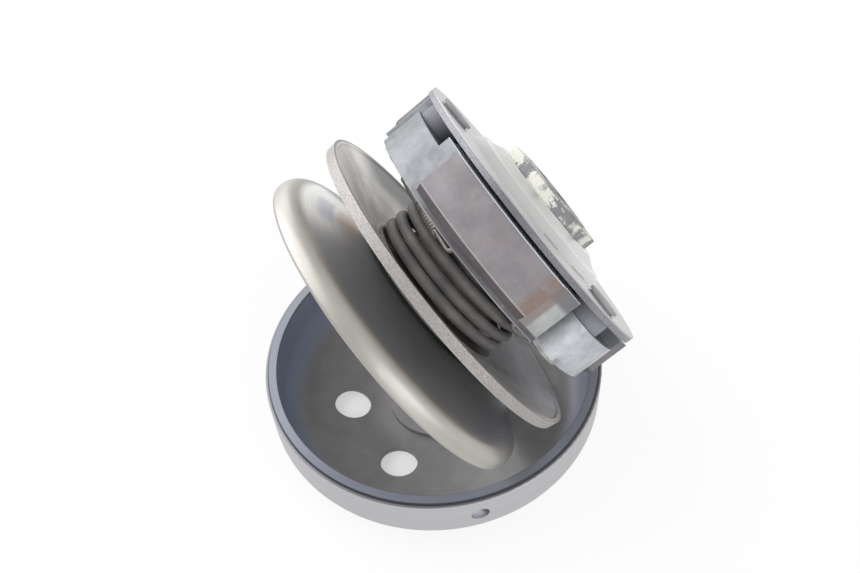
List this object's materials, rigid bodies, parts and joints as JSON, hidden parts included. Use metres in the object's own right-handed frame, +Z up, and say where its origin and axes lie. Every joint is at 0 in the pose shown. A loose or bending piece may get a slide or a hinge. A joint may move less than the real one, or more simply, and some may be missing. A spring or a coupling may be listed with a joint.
{
  "type": "centrifugal clutch with driven pulley",
  "caption": "Centrifugal clutch with three hinged lined shoes, a belt pulley with a torque cam and contra spring, leaning in its removed clutch bell.",
  "frame": {"origin": "centre of the bell hub's bore at the face the bell stands on", "axes": "+Z up along the bell's axis; +X towards the side the clutch leans to, its nut end up; the pulley's axis lies in the XZ plane, 29.5 degrees above +X"},
  "size_m": [0.1607, 0.155, 0.1673],
  "materials": {
    "bell_steel": "dark oxidised turned steel, grey outside",
    "sheave_steel": "satin turned steel, polished belt faces",
    "hub_steel": "ground steel, lightly oiled",
    "spring_steel": "dark spring wire with an oily film",
    "plate_steel": "pressed satin steel with a rough sheared edge",
    "nut_zinc": "worn pale zinc plating over grey steel",
    "pin_steel": "dull steel",
    "shoe_aluminium": "die-cast aluminium, dusty",
    "lining": "worn friction lining, purple-brown, with rust stains",
    "bearing_steel": "ground bearing steel",
    "rubber": "matt black"
  },
  "bodies": {
    "root": {"clutch_bell": "bell_steel", "bell_hub": "bell_steel", "fixed_sheave": "sheave_steel", "sheave_hub": "hub_steel", "cam_pins": "hub_steel", "cam_rollers": "bearing_steel", "contra_spring": "spring_steel", "carrier_plate": "plate_steel", "clutch_nut": "nut_zinc", "pivot_pins": "pin_steel", "pin_washers": "pin_steel", "damper_collars": "rubber", "pivot_clips": "spring_steel", "return_springs": "spring_steel", "bearing_outer_ring": "bearing_steel", "bearing_circlip": "spring_steel", "needle_shell": "bearing_steel"},
    "spring_cup": {"spring_cup": "plate_steel"},
    "sliding_sheave": {"sliding_sheave": "sheave_steel", "seal_rings": "rubber"},
    "shoe_1": {"shoe_1": "shoe_aluminium", "lining_1": "lining"},
    "shoe_2": {"shoe_2": "shoe_aluminium", "lining_2": "lining"},
    "shoe_3": {"shoe_3": "shoe_aluminium", "lining_3": "lining"},
    "bearing_inner": {"bearing_inner_ring": "bearing_steel"},
    "bearing_balls": {"bearing_balls": "bearing_steel", "bearing_cage": "pin_steel"},
    "needle_cage": {"needle_cage": "pin_steel", "needle_rollers": "bearing_steel"}
  },
  "joints": [
    {"name": "sheave_slide", "type": "slide", "parent": "root", "child": "spring_cup", "axis": [0.8704, 0, 0.4924], "range_m": [0, 0.0125], "stiffness_N_per_m": 3000, "springref_m": -0.01, "deforming": ["contra_spring"]},
    {"name": "sheave_turn", "type": "hinge", "parent": "spring_cup", "child": "sliding_sheave", "pos_m": [0.01371, 0, 0.08895], "axis": [0.8704, 0, 0.4924], "range_deg": [0, 25.78]},
    {"name": "shoe_1_pivot", "type": "hinge", "parent": "root", "child": "shoe_1", "pos_m": [0.05913, 0.02781, 0.06146], "axis": [-0.8704, 0, -0.4924], "range_deg": [0, 4.2], "stiffness_Nm_per_rad": 2, "springref_deg": -17.19, "deforming": ["return_springs"]},
    {"name": "shoe_2_pivot", "type": "hinge", "parent": "root", "child": "shoe_2", "pos_m": [0.01308, 0.02618, 0.14286], "axis": [-0.8704, 0, -0.4924], "range_deg": [0, 4.2], "stiffness_Nm_per_rad": 2, "springref_deg": -17.19, "deforming": ["return_springs"]},
    {"name": "shoe_3_pivot", "type": "hinge", "parent": "root", "child": "shoe_3", "pos_m": [0.0368, -0.05399, 0.10093], "axis": [-0.8704, 0, -0.4924], "range_deg": [0, 4.2], "stiffness_Nm_per_rad": 2, "springref_deg": -17.19, "deforming": ["return_springs"]},
    {"name": "bearing_spin", "type": "hinge", "parent": "root", "child": "bearing_inner", "pos_m": [0.05549, 0, 0.11258], "axis": [0.8704, 0, 0.4924], "continuous": true},
    {"name": "ball_spin", "type": "hinge", "parent": "root", "child": "bearing_balls", "pos_m": [0.05549, 0, 0.11258], "axis": [0.8704, 0, 0.4924], "continuous": true},
    {"name": "needle_spin", "type": "hinge", "parent": "root", "child": "needle_cage", "pos_m": [-0.0037, 0, 0.0791], "axis": [0.8704, 0, 0.4924], "continuous": true}
  ],
  "couplings": [
    {"joint": "sheave_turn", "follows": "sheave_slide", "rad_per_m": 35.921},
    {"joint": "ball_spin", "follows": "bearing_spin", "ratio": 0.3977}
  ]
}
